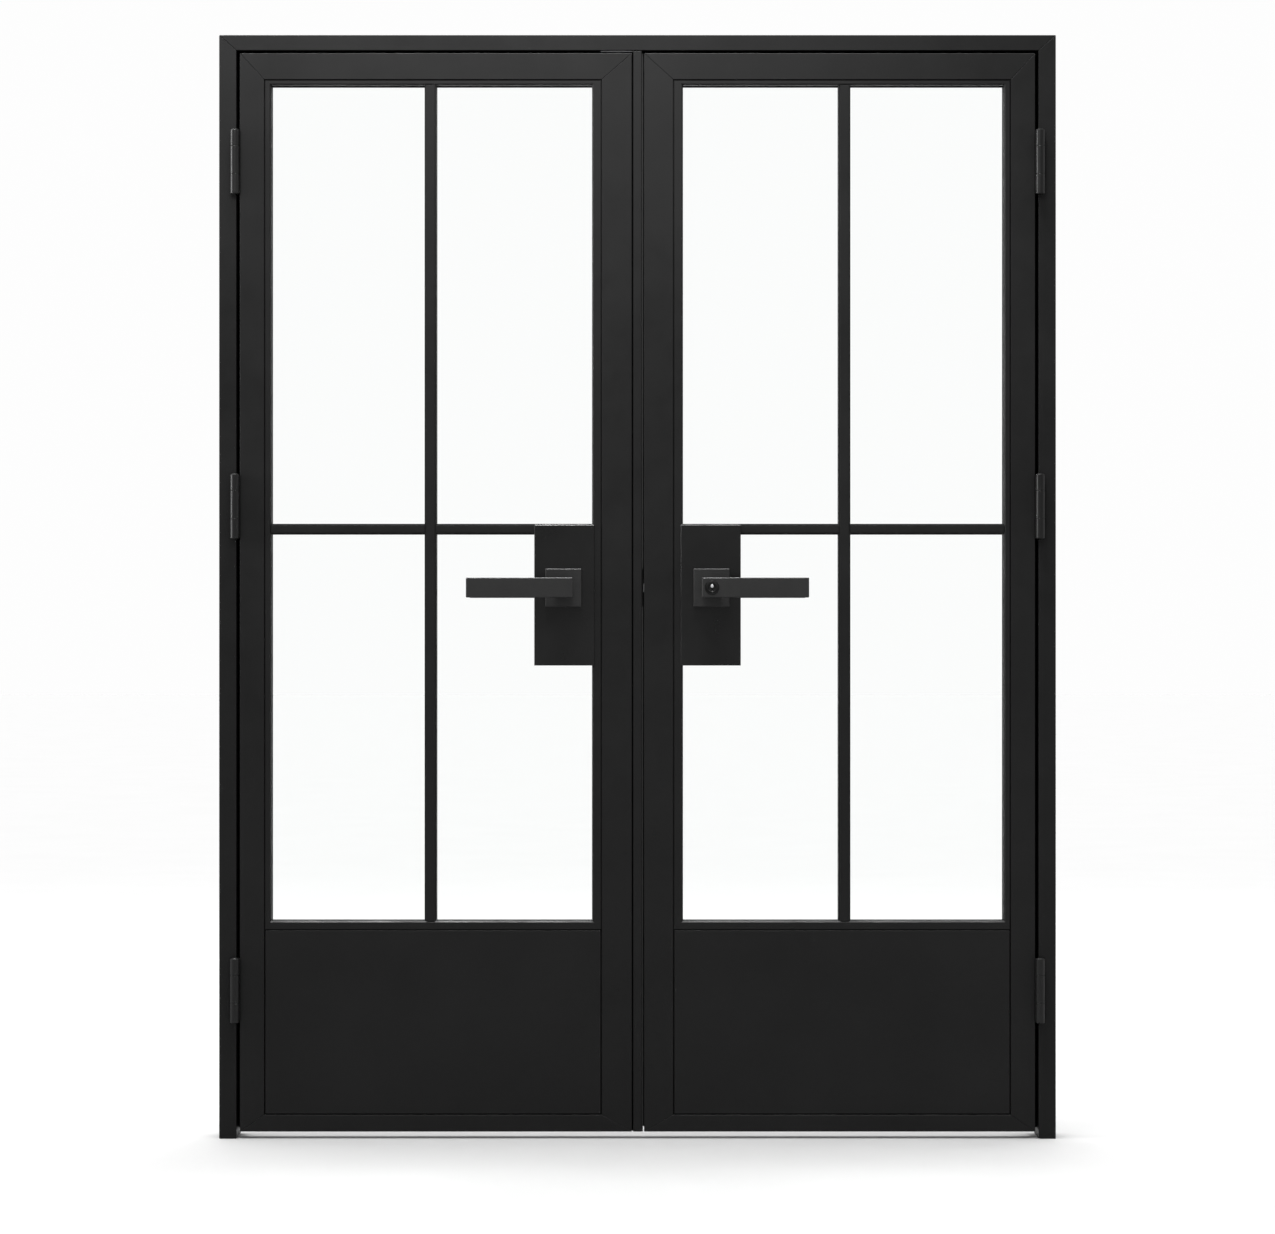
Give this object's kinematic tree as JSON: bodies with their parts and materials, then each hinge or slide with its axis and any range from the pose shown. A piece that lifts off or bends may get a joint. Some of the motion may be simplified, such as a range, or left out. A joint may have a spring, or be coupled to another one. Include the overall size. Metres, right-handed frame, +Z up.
{
  "type": "french doors",
  "caption": "Black steel french doors in a mitred steel frame: glazed leaves with glazing bars, kick panels, barrel hinges, lever handles and a central astragal.",
  "frame": {"origin": "middle of the frame at floor level, halfway through the leaves' thickness", "axes": "+X to the right seen from the hinge side, -Y out of the side with the hinge barrels, +Z up"},
  "size_m": [1.56, 0.169, 2.058],
  "materials": {
    "frame_steel": "satin black powder coat",
    "leaf_steel": "satin black powder coat",
    "panel_steel": "satin black powder coat",
    "handle_metal": "matte black anodised",
    "cylinder_metal": "matte black plated",
    "bare_steel": "zinc plated",
    "clear_glass": "clear double glazing",
    "black_rubber": "matte",
    "core_foam": "foam"
  },
  "bodies": {
    "frame": {"left_jamb": "frame_steel", "right_jamb": "frame_steel", "head": "frame_steel", "door_stops": "frame_steel", "frame_seal": "black_rubber", "head_keeper": "bare_steel", "left_hinge_frame_halves": "frame_steel", "right_hinge_frame_halves": "frame_steel", "left_hinge_pins": "bare_steel", "right_hinge_pins": "bare_steel", "jamb_hinge_screws": "bare_steel"},
    "left_leaf": {"left_hinge_door_halves": "leaf_steel", "left_leaf_screws": "bare_steel", "left_hinge_stile": "leaf_steel", "left_meeting_stile": "leaf_steel", "left_rails": "leaf_steel", "left_beads": "leaf_steel", "left_bar_grid": "leaf_steel", "left_front_bars": "leaf_steel", "left_glass": "clear_glass", "left_gaskets": "black_rubber", "left_kick_panels": "panel_steel", "left_kick_core": "core_foam", "left_lock_box": "leaf_steel", "left_lock_plates": "panel_steel", "left_roses": "handle_metal", "bolt_drive_case": "bare_steel", "astragal": "leaf_steel", "meeting_seal": "black_rubber", "strike_plate": "bare_steel"},
    "right_leaf": {"right_hinge_door_halves": "leaf_steel", "right_leaf_screws": "bare_steel", "right_hinge_stile": "leaf_steel", "right_meeting_stile": "leaf_steel", "right_rails": "leaf_steel", "right_beads": "leaf_steel", "right_bar_grid": "leaf_steel", "right_front_bars": "leaf_steel", "right_glass": "clear_glass", "right_gaskets": "black_rubber", "right_kick_panels": "panel_steel", "right_kick_core": "core_foam", "right_lock_box": "leaf_steel", "right_lock_plates": "panel_steel", "right_roses": "handle_metal", "lock_chassis": "bare_steel", "latch_case": "bare_steel", "latch_face_plate": "bare_steel"},
    "left_lever": {"left_front_lever": "handle_metal", "left_back_lever": "handle_metal", "left_spindle": "bare_steel"},
    "right_lever": {"right_front_lever": "handle_metal", "right_back_lever": "handle_metal", "right_spindle": "bare_steel", "key_cylinder": "cylinder_metal"},
    "latch_bolt": {"latch_bolt": "bare_steel"},
    "top_bolt": {"top_bolt": "bare_steel"},
    "bottom_bolt": {"bottom_bolt": "bare_steel"},
    "key_plug": {"key_plug": "cylinder_metal"},
    "inside_turn": {"inside_turn": "cylinder_metal"}
  },
  "joints": [
    {"name": "left_leaf_swing", "type": "hinge", "parent": "frame", "child": "left_leaf", "pos_m": [-0.75, -0.032, 1], "axis": [0, 0, -1], "range_deg": [0, 170]},
    {"name": "right_leaf_swing", "type": "hinge", "parent": "frame", "child": "right_leaf", "pos_m": [0.75, -0.032, 1], "axis": [0, 0, 1], "range_deg": [0, 170]},
    {"name": "left_lever_lift", "type": "hinge", "parent": "left_leaf", "child": "left_lever", "pos_m": [-0.138, 0, 1.0275], "axis": [0, 1, 0], "range_deg": [0, 45]},
    {"name": "right_lever_press", "type": "hinge", "parent": "right_leaf", "child": "right_lever", "pos_m": [0.138, 0, 1.0275], "axis": [0, 1, 0], "range_deg": [0, 45], "stiffness_Nm_per_rad": 1.5, "springref_deg": -40.11},
    {"name": "latch_slide", "type": "slide", "parent": "right_leaf", "child": "latch_bolt", "axis": [1, 0, 0], "range_m": [0, 0.012]},
    {"name": "top_bolt_slide", "type": "slide", "parent": "left_leaf", "child": "top_bolt", "axis": [0, 0, 1], "range_m": [0, 0.018]},
    {"name": "bottom_bolt_slide", "type": "slide", "parent": "left_leaf", "child": "bottom_bolt", "axis": [0, 0, -1], "range_m": [0, 0.018]},
    {"name": "key_turn", "type": "hinge", "parent": "right_lever", "child": "key_plug", "pos_m": [0.138, -0.06, 1.0275], "axis": [0, 1, 0], "range_deg": [0, 90]},
    {"name": "inside_button_turn", "type": "hinge", "parent": "right_lever", "child": "inside_turn", "pos_m": [0.138, 0.06, 1.0275], "axis": [0, -1, 0], "range_deg": [0, 90]}
  ],
  "couplings": [
    {"joint": "latch_slide", "follows": "right_lever_press", "m_per_rad": 0.015277},
    {"joint": "top_bolt_slide", "follows": "left_lever_lift", "m_per_rad": 0.022916},
    {"joint": "bottom_bolt_slide", "follows": "left_lever_lift", "m_per_rad": 0.022916}
  ]
}
